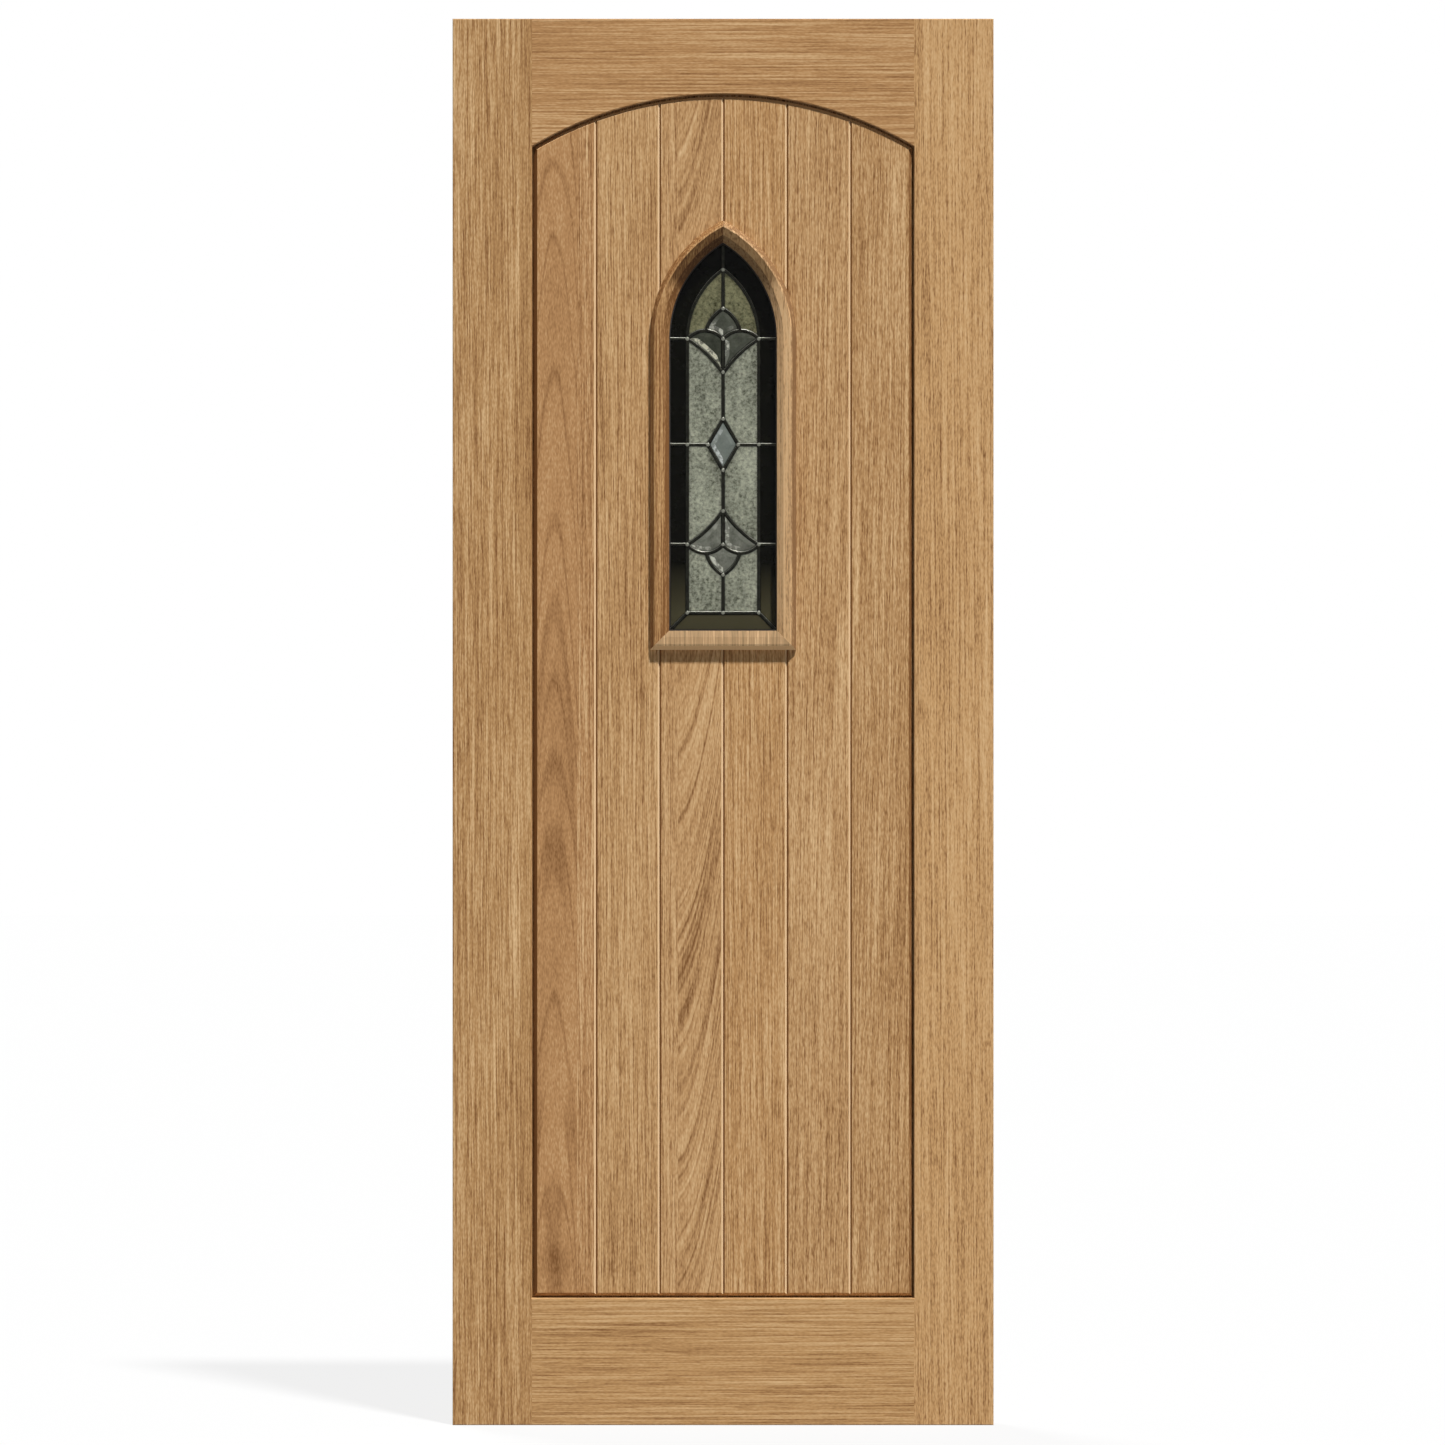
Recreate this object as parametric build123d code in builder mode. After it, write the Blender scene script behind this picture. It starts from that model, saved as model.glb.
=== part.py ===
from build123d import *
import os
from math import acos, degrees, sqrt

# Hardwood exterior door leaf: framed tongue-and-groove panel with a leaded lancet light.
# Millimetres. X runs across the leaf, Y through it with the front face towards -Y, and Z up.
# The origin is the middle of the bottom edge.

# Leaf
leaf_width = 762.0
leaf_height = 1981.0
leaf_thickness = 44.0
leaf_arris = 1.0              # easing round the outer edges

# Stiles and rails
stile_width = 112.0
bottom_rail_height = 179.0
top_rail_height = 180.0       # at its two ends
arch_rise = 74.0              # of the top rail's lower edge
frame_arris = 1.4             # easing round the panel opening
plough_width = 12.0           # groove that holds the panel
plough_depth = 12.0
tenon_length = 78.0           # stopped in the stile
tenon_setback = 12.0          # tenon back from the panel's plough
tenon_haunch = 28.0           # tenon back from the leaf's end
tenon_clearance = 0.6         # round the tenon's edges and end
fit_clearance = 0.1           # each cheek of a tenon or tongue

# Panel boards
board_land = 1.0              # least wood beside the light's hole
board_thickness = 34.0
board_vee = 2.4               # each arris of a V joint
board_tongue_length = 8.0
board_tongue_thickness = 10.0
board_tip_clearance = 0.5
panel_gap = 3.0               # open quirk between the boards and the frame
panel_chamfer = 4.2
panel_tongue_length = 11.0    # into the plough

# Lancet light
sight_half_width = 76.0
light_side_height = 412.0     # straight sides, up to the springing
springing_drop = 450.0        # springing below the leaf's top
lancet_radius = 158.0
glass_cover = 6.0             # glass hidden behind the moulding
hole_clearance = 2.0          # between the glass edge and the boards

# Sealed unit
pane_thickness = 4.0
spacer_depth = 6.0
spacer_width = 5.0
seal_width = 2.0              # sealant round the spacers and the leaded panel
tape_thickness = 2.0
tape_reveal = 1.8
tape_setback = 0.5
block_length = 30.0
block_inset = 36.0            # block centre from the unit's corner

# Leaded panel
came_thickness = 5.0
came_width = 4.0
came_flange = 1.0
heart_width = 1.2
glass_gap = 0.2               # between a glass edge and the heart
border_width = 25.5
border_arch_radius = 121.0
diamond_share = 0.638         # of the straight sides, up from the sill
diamond_half_width = 21.5
diamond_half_height = 37.0
lower_tip_share = 0.296       # lower tulip's tips, likewise
spear_reach = 49.0            # tulip's point beyond its tips
spear_bow = 4.0
petal_reach = 43.0            # centre petal beyond the tips
petal_bow = 4.0
side_petal_bow = 12.0
petal_corner_share = 0.52     # where the centre petal lands on a side petal
bevel_height = 1.6            # raised by the bevel
bevel_width = 8.0

# Moulding section, from the sight line outwards and up from the boards
moulding_width = 27.0
moulding_height = 14.6
sight_edge_height = 3.5
slope_width = 9.0
slope_height = 11.0
ridge_offset = 6.5            # ridge in from the outer edge
outer_edge_height = 4.5
ridge_ease = 1.6              # flat easing of the ridge
leg_clearance = 0.3           # moulding leg to the hole

# Moulding brads, of flat wire
brad_width = 1.3
brad_depth = 1.0
brad_length = 19.0
brad_bite = 10.0              # length in the boards
brad_inset = 17.5             # from the sight line
brad_clearance = 0.1
side_brad_shares = (0.2, 0.8)
arch_brad_share = 0.5
bottom_brad_share = 0.6

overrun = 5.0                 # cutters past the stock

# Worked-out sizes
opening_half_width = leaf_width / 2 - stile_width
shoulder_height = leaf_height - top_rail_height
arch_radius = (opening_half_width**2 + arch_rise**2) / (2 * arch_rise)
arch_centre_height = shoulder_height + arch_rise - arch_radius
tongue_thickness = plough_width - 2 * fit_clearance
tenon_tip = opening_half_width + tenon_length
haunch_tip = opening_half_width + plough_depth - tenon_clearance
hole_grow = glass_cover + hole_clearance
least_board = sight_half_width + hole_grow + board_land   # the light fits in the two middle boards
board_count = 2 * int(opening_half_width / least_board)
board_pitch = 2 * opening_half_width / board_count
board_face = board_thickness / 2
springing_height = leaf_height - springing_drop
sight_bottom = springing_height - light_side_height
unit_thickness = came_thickness + 2 * (spacer_depth + pane_thickness)
unit_face = unit_thickness / 2
pane_back = unit_face - pane_thickness
came_face = came_thickness / 2
glass_half = came_face - came_flange
leg_depth = board_face - unit_face - tape_thickness
panel_grow = glass_cover - seal_width
inner_half_width = sight_half_width - border_width
inner_foot = sight_bottom + border_width
lower_tip = sight_bottom + lower_tip_share * light_side_height
upper_tip = springing_height
diamond_height = sight_bottom + diamond_share * light_side_height
lancet_centre = sight_half_width - lancet_radius
flange_cover = (came_width - heart_width) / 2 - glass_gap
bevel_drop = bevel_height * flange_cover / (bevel_width - flange_cover) + fit_clearance

front = Plane.XZ              # local X across, local Y up, normal to the front


def arched_opening(grow):
    """Panel opening, square at the foot and arched at the head, grown outwards."""
    half = opening_half_width + grow
    radius = arch_radius + grow
    foot = bottom_rail_height - grow
    shoulder = arch_centre_height + sqrt(radius**2 - half**2)
    crown = arch_centre_height + radius
    with BuildSketch() as outline:
        with BuildLine():
            Polyline((-half, shoulder), (-half, foot), (half, foot), (half, shoulder))
            ThreePointArc((half, shoulder), (0, crown), (-half, shoulder))
        make_face()
    return outline.sketch


def lancet(half, foot, radius):
    """Pointed arch on straight sides."""
    crown = springing_height + sqrt(radius**2 - (radius - half) ** 2)
    with BuildSketch() as outline:
        with BuildLine():
            Polyline((-half, springing_height), (-half, foot), (half, foot), (half, springing_height))
            TangentArc((half, springing_height), (0, crown), tangent=(0, 1))
            TangentArc((-half, springing_height), (0, crown), tangent=(0, 1))
        make_face()
    return outline.sketch


def light(grow):
    """Lancet that follows the sight line, grown outwards."""
    return lancet(sight_half_width + grow, sight_bottom - grow, lancet_radius + grow)


# Frame: one blank with its eased edges, then cut into stiles and rails
opening = arched_opening(0)
plough = arched_opening(plough_depth)

with BuildPart() as frame_blank:
    with BuildSketch(front):
        with Locations((0, leaf_height / 2)):
            Rectangle(leaf_width, leaf_height)
        add(opening, mode=Mode.SUBTRACT)
    extrude(amount=leaf_thickness / 2, both=True)
    broad_faces = frame_blank.faces().filter_by(Axis.Y)
    chamfer([face.inner_wires()[0].edges() for face in broad_faces], frame_arris)
    broad_faces = frame_blank.faces().filter_by(Axis.Y)
    chamfer([face.outer_wire().edges() for face in broad_faces], leaf_arris)


def haunched_tenon(inner, end):
    """Tenons at both ends of a rail, from the inner edge, with a haunch on to the leaf's end."""
    step = tenon_haunch if inner > end else -tenon_haunch
    with BuildSketch() as outline:
        with BuildLine():
            Polyline(
                (opening_half_width, inner),
                (tenon_tip, inner),
                (tenon_tip, end + step),
                (haunch_tip, end + step),
                (haunch_tip, end),
                (opening_half_width, end),
                close=True,
            )
        make_face()
        mirror(about=Plane.YZ)
    return outline.sketch


top_tenons = haunched_tenon(shoulder_height + plough_depth + tenon_setback, leaf_height)
bottom_tenons = haunched_tenon(bottom_rail_height - plough_depth - tenon_setback, 0)

with BuildPart() as right_stile:
    add(frame_blank.part)
    with Locations((opening_half_width + stile_width / 2, 0, leaf_height / 2)):
        Box(stile_width, leaf_thickness, leaf_height, mode=Mode.INTERSECT)
    with Locations((opening_half_width + plough_depth / 2, 0, leaf_height / 2)):
        Box(plough_depth, plough_width, leaf_height, mode=Mode.SUBTRACT)
    with BuildSketch(front):
        add(top_tenons)
        add(bottom_tenons)
        offset(amount=tenon_clearance, kind=Kind.INTERSECTION)
    extrude(amount=plough_width / 2, both=True, mode=Mode.SUBTRACT)

with BuildPart() as left_stile:
    add(mirror(right_stile.part, about=Plane.YZ, mode=Mode.PRIVATE))

with BuildPart() as top_rail:
    add(frame_blank.part)
    with Locations((0, 0, leaf_height - top_rail_height / 2)):
        Box(2 * opening_half_width, leaf_thickness, top_rail_height, mode=Mode.INTERSECT)
    with BuildSketch(front):
        add(plough)
    extrude(amount=plough_width / 2, both=True, mode=Mode.SUBTRACT)
    with BuildSketch(front):
        add(top_tenons)
    extrude(amount=tongue_thickness / 2, both=True)

with BuildPart() as bottom_rail:
    add(frame_blank.part)
    with Locations((0, 0, bottom_rail_height / 2)):
        Box(2 * opening_half_width, leaf_thickness, bottom_rail_height, mode=Mode.INTERSECT)
    with BuildSketch(front):
        add(plough)
    extrude(amount=plough_width / 2, both=True, mode=Mode.SUBTRACT)
    with BuildSketch(front):
        add(bottom_tenons)
    extrude(amount=tongue_thickness / 2, both=True)

# Brads that hold the mouldings to the boards
arch_sweep = degrees(acos(-lancet_centre / lancet_radius))
brad_radius_line = lancet_radius + brad_inset
brad_places = []
for side in (-1, 1):
    for share in side_brad_shares:
        brad_places.append((side * (sight_half_width + brad_inset), sight_bottom + share * light_side_height))
    spot = Vector(brad_radius_line, 0).rotate(Axis.Z, arch_brad_share * arch_sweep)
    brad_places.append((side * (lancet_centre + spot.X), springing_height + spot.Y))
    brad_places.append((side * bottom_brad_share * sight_half_width, sight_bottom - brad_inset))

with BuildPart() as moulding_brads:
    with BuildSketch(front.offset(board_face - brad_bite)):
        with Locations(*brad_places):
            Rectangle(brad_width, brad_depth)
    extrude(amount=brad_length)
    mirror(about=Plane.XZ)

with BuildPart() as brad_bores:
    with BuildSketch(front.offset(board_face - brad_bite - brad_clearance)):
        with Locations(*brad_places):
            Rectangle(brad_width + 2 * brad_clearance, brad_depth + 2 * brad_clearance)
    extrude(amount=brad_length + 2 * brad_clearance)
    mirror(about=Plane.XZ)

# Panel: a blank with a chamfered face and a tongue all round, cut into boards
with BuildPart() as panel_blank:
    with BuildSketch(front):
        add(arched_opening(-panel_gap))
    extrude(amount=board_face, both=True)
    panel_faces = panel_blank.faces().filter_by(Axis.Y)
    chamfer([face.outer_wire().edges() for face in panel_faces], panel_chamfer)
    with BuildSketch(front):
        add(arched_opening(panel_tongue_length))
    extrude(amount=tongue_thickness / 2, both=True)

light_hole = light(hole_grow)
groove_thickness = board_tongue_thickness + 2 * fit_clearance
groove_length = board_tongue_length + board_tip_clearance
spare = panel_tongue_length + overrun
pieces = {}


def board_section(left, right, left_edge, right_edge):
    """Board cut across: each edge is plain, or a V joint's tongue or groove."""
    with BuildSketch() as section:
        with Locations(((left + right) / 2, 0)):
            Rectangle(right - left, board_thickness)
        for side, (place, edge) in enumerate(((left, left_edge), (right, right_edge))):
            outward = 2 * side - 1
            if edge == "plain":
                with Locations((place + outward * spare / 2, 0)):
                    Rectangle(spare, board_thickness)
                continue
            chamfer(section.vertices().group_by(Axis.X)[-side], board_vee)
            if edge == "tongue":
                with Locations((place + outward * board_tongue_length / 2, 0)):
                    Rectangle(board_tongue_length, board_tongue_thickness)
            else:
                with Locations((place - outward * groove_length / 2, 0)):
                    Rectangle(groove_length, groove_thickness, mode=Mode.SUBTRACT)
    return section.sketch


# Tongues point away from the middle of the panel
for number in range(board_count):
    left = number * board_pitch - opening_half_width
    left_edge = "tongue" if number < board_count / 2 else "groove"
    right_edge = "tongue" if number + 1 >= board_count / 2 else "groove"
    if number == 0:
        left_edge = "plain"
    if number == board_count - 1:
        right_edge = "plain"
    section = board_section(left, left + board_pitch, left_edge, right_edge)
    with BuildPart() as board:
        with BuildSketch():
            add(section)
        extrude(amount=leaf_height)
        add(panel_blank.part, mode=Mode.INTERSECT)
        with BuildSketch(front):
            add(light_hole)
        extrude(amount=leaf_thickness, both=True, mode=Mode.SUBTRACT)
        add(brad_bores.part, mode=Mode.SUBTRACT)
    pieces[f"board_{number + 1}"] = board


# Moulding: one section, run straight up the sides and along the bottom, turned round the arches
leg_width = hole_grow - leg_clearance
with BuildSketch() as moulding_section:
    with BuildLine():
        Polyline(
            (0, -leg_depth),
            (0, sight_edge_height),
            (slope_width, slope_height),
            (moulding_width - ridge_offset, moulding_height),
            (moulding_width, outer_edge_height),
            (moulding_width, 0),
            (leg_width, 0),
            (leg_width, -leg_depth),
            close=True,
        )
    make_face()
    chamfer(moulding_section.vertices().sort_by(Axis.Y)[-1], ridge_ease)

side_plane = Plane(
    origin=(sight_half_width, -board_face, springing_height), x_dir=(1, 0, 0), z_dir=(0, 0, -1)
)
bottom_plane = Plane(origin=(0, -board_face, sight_bottom), x_dir=(0, 0, -1), z_dir=(-1, 0, 0))
right_mitre = Plane(origin=(sight_half_width, 0, sight_bottom), z_dir=(1, 0, 1))
left_mitre = Plane(origin=(-sight_half_width, 0, sight_bottom), z_dir=(-1, 0, 1))
mitre_length = moulding_width + overrun
outer_sweep = degrees(acos(-lancet_centre / (lancet_radius + mitre_length)))

with BuildPart() as moulding_side:
    with BuildSketch(side_plane):
        add(moulding_section.sketch)
    extrude(amount=light_side_height + mitre_length)
    split(bisect_by=right_mitre, keep=Keep.TOP)
    add(brad_bores.part, mode=Mode.SUBTRACT)

with BuildPart() as moulding_arch:
    with BuildSketch(side_plane):
        add(moulding_section.sketch)
    revolve(
        axis=Axis((lancet_centre, 0, springing_height), (0, -1, 0)), revolution_arc=outer_sweep
    )
    split(bisect_by=Plane.YZ, keep=Keep.TOP)
    add(brad_bores.part, mode=Mode.SUBTRACT)

with BuildPart() as moulding_bottom:
    with BuildSketch(bottom_plane):
        add(moulding_section.sketch)
    extrude(amount=sight_half_width + mitre_length, both=True)
    split(bisect_by=right_mitre, keep=Keep.BOTTOM)
    split(bisect_by=left_mitre, keep=Keep.BOTTOM)
    add(brad_bores.part, mode=Mode.SUBTRACT)

for name, length in (("side", moulding_side), ("arch", moulding_arch)):
    with BuildPart() as left_length:
        add(mirror(length.part, about=Plane.YZ, mode=Mode.PRIVATE))
    pieces[f"front_moulding_{name}_right"] = length
    pieces[f"front_moulding_{name}_left"] = left_length
pieces["front_moulding_bottom"] = moulding_bottom

# Sealed unit: tape, pane and spacer on the front, mirrored to the rear
glass_outline = light(glass_cover)
spacer_inner = light(panel_grow - spacer_width)
tape_outer = light(glass_cover - tape_setback)
tape_inner = light(-tape_reveal)
panel_outline = light(panel_grow)

with BuildPart() as tape:
    with BuildSketch(front.offset(unit_face)):
        add(tape_outer)
        add(tape_inner, mode=Mode.SUBTRACT)
    extrude(amount=tape_thickness)
pieces["front_glazing_tape"] = tape

with BuildPart() as pane:
    with BuildSketch(front.offset(pane_back)):
        add(glass_outline)
    extrude(amount=pane_thickness)
pieces["front_pane"] = pane

with BuildPart() as spacer:
    with BuildSketch(front.offset(came_face)):
        add(panel_outline)
        add(spacer_inner, mode=Mode.SUBTRACT)
    extrude(amount=spacer_depth)
pieces["front_spacer_bar"] = spacer

for name in [name for name in pieces if name.startswith("front")]:
    with BuildPart() as rear_piece:
        add(mirror(pieces[name].part, about=Plane.XZ, mode=Mode.PRIVATE))
    pieces[name.replace("front", "rear")] = rear_piece

with BuildPart() as edge_sealant:
    with BuildSketch(front):
        add(glass_outline)
        add(panel_outline, mode=Mode.SUBTRACT)
    extrude(amount=pane_back, both=True)

block_place = sight_half_width + glass_cover - block_inset
with BuildPart() as setting_blocks:
    with Locations(*[(side * block_place, 0, sight_bottom - hole_grow) for side in (-1, 1)]):
        Box(
            block_length,
            unit_thickness,
            hole_clearance,
            align=(Align.CENTER, Align.CENTER, Align.MIN),
        )

# Leaded panel: the cames' centre lines
panel_half_width = sight_half_width + panel_grow
panel_radius = lancet_radius + panel_grow
panel_foot = sight_bottom - panel_grow
panel_crown = springing_height + sqrt(panel_radius**2 - lancet_centre**2)
inner_crown = springing_height + sqrt(
    border_arch_radius**2 - (border_arch_radius - inner_half_width) ** 2
)


def tulip(tip, out):
    """One tulip's lines, with its centre petal upwards for 1 and downwards for -1."""
    heart = (0, tip)
    spear = (0, tip - out * spear_reach)
    Line(heart, spear)
    for side in (-1, 1):
        point = (side * inner_half_width, tip)
        SagittaArc(point, spear, -side * out * spear_bow)
        petal = SagittaArc(point, heart, -side * out * side_petal_bow)
        SagittaArc((0, tip + out * petal_reach), petal @ petal_corner_share, side * out * petal_bow)
    return spear


with BuildLine() as came_lines:
    upper_spear = tulip(upper_tip, 1)
    lower_spear = tulip(lower_tip, -1)
    Line((0, upper_tip + petal_reach), (0, panel_crown))
    Line(upper_spear, (0, diamond_height + diamond_half_height))
    Line((0, diamond_height - diamond_half_height), lower_spear)
    Line((0, lower_tip - petal_reach), (0, inner_foot))
    for side in (-1, 1):
        inner = side * inner_half_width
        outer = side * panel_half_width
        diamond = side * diamond_half_width
        Line((diamond, diamond_height), (0, diamond_height + diamond_half_height))
        Line((diamond, diamond_height), (0, diamond_height - diamond_half_height))
        Line((diamond, diamond_height), (outer, diamond_height))
        Line((inner, upper_tip), (outer, upper_tip))
        Line((inner, lower_tip), (outer, lower_tip))
        Line((0, inner_foot), (inner, inner_foot))
        Line((inner, inner_foot), (outer, panel_foot))
        Line((inner, inner_foot), (inner, springing_height))
        TangentArc((inner, springing_height), (0, inner_crown), tangent=(0, 1))

came_ring = light(panel_grow - came_width)
heart_ring = light(panel_grow - heart_width)
glass_ring = light(panel_grow - heart_width - glass_gap)


def strip(line, width):
    """Flat strip of even width along a came's centre line."""
    middle_share = 0.5
    spots = [line @ share for share in (0, middle_share, 1)]
    across = [(line % share).rotate(Axis.Z, 90) * (width / 2) for share in (0, middle_share, 1)]
    near = [spot - step for spot, step in zip(spots, across)]
    far = [spot + step for spot, step in zip(spots, across)]
    with BuildSketch() as outline:
        with BuildLine():
            if line.geom_type == GeomType.LINE:
                Line(near[0], near[-1])
                Line(far[0], far[-1])
            else:
                ThreePointArc(*near)
                ThreePointArc(*far)
            Line(near[0], far[0])
            Line(near[-1], far[-1])
        make_face()
    return outline.sketch


def came_net(width, ring):
    """The cames as flat strips, with the strip round the panel's edge."""
    strips = [strip(line, width) for line in came_lines.edges()]
    with BuildSketch() as net:
        add(panel_outline)
        add(ring, mode=Mode.SUBTRACT)
        for piece in strips:
            add(piece)
        add(panel_outline, mode=Mode.INTERSECT)
    return net.sketch


flanges = came_net(came_width, came_ring)
hearts = came_net(heart_width, heart_ring)

with BuildPart() as lead_cames:
    with BuildSketch(front.offset(glass_half)):
        add(flanges)
    extrude(amount=came_flange)
    mirror(about=Plane.XZ)
    with BuildSketch(front):
        add(hearts)
    extrude(amount=glass_half, both=True)

# The glass between the cames, each piece found by a place inside it
glass_strips = [strip(line, heart_width + 2 * glass_gap) for line in came_lines.edges()]
with BuildSketch() as glazing:
    add(glass_ring)
    for piece in glass_strips:
        add(piece, mode=Mode.SUBTRACT)
glass_faces = glazing.faces()

border_middle = sight_half_width - border_width / 2
arch_spot = Vector(lancet_radius - border_width / 2, 0).rotate(Axis.Z, arch_sweep / 2)
field_share = 0.8             # field places, out towards the border
crown_share = 0.6             # and up beside the centre petal
levels = (inner_foot, lower_tip, diamond_height, upper_tip)
middles = [(low + high) / 2 for low, high in zip(levels, levels[1:])]
plain_places = {"border_glass_bottom": (0, sight_bottom + border_width / 2)}
bevel_places = {
    "bevel_diamond": (0, diamond_height),
    "bevel_upper_centre": (0, upper_tip + petal_reach / 2),
    "bevel_lower_centre": (0, lower_tip - petal_reach / 2),
}
for hand, side in (("left", -1), ("right", 1)):
    for step, middle in enumerate(middles):
        plain_places[f"border_glass_{hand}_{step + 1}"] = (side * border_middle, middle)
        plain_places[f"field_glass_{hand}_{step + 1}"] = (side * field_share * inner_half_width, middle)
    plain_places[f"border_glass_{hand}_arch"] = (
        side * (lancet_centre + arch_spot.X),
        springing_height + arch_spot.Y,
    )
    plain_places[f"field_glass_{hand}_top"] = (
        side * field_share * inner_half_width,
        upper_tip + crown_share * petal_reach,
    )
    bevel_places[f"bevel_upper_{hand}"] = (side * inner_half_width / 2, upper_tip)
    bevel_places[f"bevel_lower_{hand}"] = (side * inner_half_width / 2, lower_tip)


def glass_at(place):
    """The glass outline that holds the place."""
    return glass_faces.sort_by(lambda face: face.distance_to(Vertex(*place, 0)))[0]


for name, place in plain_places.items():
    with BuildPart() as glass:
        with BuildSketch(front):
            add(glass_at(place))
        extrude(amount=glass_half, both=True)
    pieces[name] = glass

for name, place in bevel_places.items():
    with BuildPart() as glass:
        with BuildSketch(front.offset(-glass_half)):
            add(glass_at(place))
        extrude(amount=2 * glass_half + bevel_height)
        top = glass.faces().sort_by(Axis.Y)[0]
        chamfer(top.edges(), bevel_width, bevel_height + bevel_drop, reference=top)
    pieces[name] = glass

pieces["left_stile"] = left_stile
pieces["right_stile"] = right_stile
pieces["top_rail"] = top_rail
pieces["bottom_rail"] = bottom_rail
pieces["moulding_brads"] = moulding_brads
pieces["edge_sealant"] = edge_sealant
pieces["setting_blocks"] = setting_blocks
pieces["lead_cames"] = lead_cames

os.makedirs("parts", exist_ok=True)
for name, piece in pieces.items():
    piece.part.label = name
    export_step(piece.part, f"parts/{name}.step")
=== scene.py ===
import bpy
from math import cos, pi, radians, sin
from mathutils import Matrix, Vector


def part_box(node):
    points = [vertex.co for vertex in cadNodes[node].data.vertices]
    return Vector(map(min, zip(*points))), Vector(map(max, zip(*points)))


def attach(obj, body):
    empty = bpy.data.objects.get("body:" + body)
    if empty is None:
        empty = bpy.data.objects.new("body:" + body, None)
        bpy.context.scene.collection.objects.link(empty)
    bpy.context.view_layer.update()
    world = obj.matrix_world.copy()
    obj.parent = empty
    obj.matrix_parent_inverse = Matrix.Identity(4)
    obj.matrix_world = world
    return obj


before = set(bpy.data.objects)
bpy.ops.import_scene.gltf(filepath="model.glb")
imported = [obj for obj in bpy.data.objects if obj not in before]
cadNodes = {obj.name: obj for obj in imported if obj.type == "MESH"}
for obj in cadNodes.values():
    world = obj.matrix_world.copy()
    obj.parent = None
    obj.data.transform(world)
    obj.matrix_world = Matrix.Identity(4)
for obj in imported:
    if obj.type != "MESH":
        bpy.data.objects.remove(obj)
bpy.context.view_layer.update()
mm = 0.001
print("frame loaded,", len(cadNodes), "nodes")


def linear(code):
    channels = [int(code[i:i + 2], 16) / 255 for i in (1, 3, 5)]
    return [c / 12.92 if c <= 0.04045 else ((c + 0.055) / 1.055) ** 2.4 for c in channels] + [1.0]


def addNode(tree, kind, links=None, stops=None, **settings):
    made = tree.nodes.new(kind)
    for name, value in settings.items():
        setattr(made, name, value)
    for key, value in (links or {}).items():
        if isinstance(value, bpy.types.NodeSocket):
            tree.links.new(value, made.inputs[key])
        else:
            made.inputs[key].default_value = value
    for number, (place, colour) in enumerate(stops or []):
        ramp = made.color_ramp.elements
        stop = ramp[number] if number < len(ramp) else ramp.new(place)
        stop.position = place
        stop.color = colour
    return made


def newFinish(name):
    finish = bpy.data.materials.new(name)
    finish.use_nodes = True
    finish.node_tree.nodes.clear()
    return finish, finish.node_tree


def applyFinish(finish, shader, pieces):
    addNode(finish.node_tree, "ShaderNodeOutputMaterial", {"Surface": shader})
    for name in pieces:
        for slot in cadNodes[name].material_slots:
            slot.material = finish


# Cuts of oak. Rings are met across the piece, along it, and bend by the square of the way from their crown.
# Crown, wander, year and pore are in mm. Fine, pores, rings and grit are strengths, deeper darkens it all,
# and through is how fast the pattern changes with depth.
usualCut = {
    "across": 1, "bend": 0, "crown": 0, "deeper": 0, "year": 14, "pore": 31, "grit": 0.5, "through": 1,
}
oakCuts = {
    "straight": {"along": 0.004, "wander": 5, "fine": 1.2, "pores": 0.22, "rings": 0.06},
    "speckled": {"along": -0.012, "wander": 7, "fine": 1.1, "pores": 0.24, "rings": 0.05, "pore": 20},
    "flecked": {"along": 0.004, "wander": 6, "fine": 1, "pores": 0.17, "rings": 0.06, "pore": 18},
    "lined": {"along": 0.001, "wander": 3, "fine": 1.15, "pores": 0.12, "rings": 0.05, "grit": 0.3},
    "lipping": {"along": 0, "wander": 2, "fine": 0.75, "pores": 0.18, "rings": 0, "deeper": 0.06},
    "plain": {"along": 0, "wander": 2, "fine": 1.1, "pores": 0.1, "rings": 0, "grit": 0.05, "through": 0.05},
    "cathedral": {
        "across": 0, "along": 0.028, "bend": 6.5, "crown": -9, "wander": 2,
        "fine": 0.16, "pores": 0.05, "rings": 0.2, "deeper": 0.05, "year": 6,
    },
    "sweeping": {
        "across": 0, "along": 0.17, "bend": -7.3, "crown": -32, "wander": 6,
        "fine": 0.95, "pores": 0.14, "rings": 0.24, "year": 11,
    },
}

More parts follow.
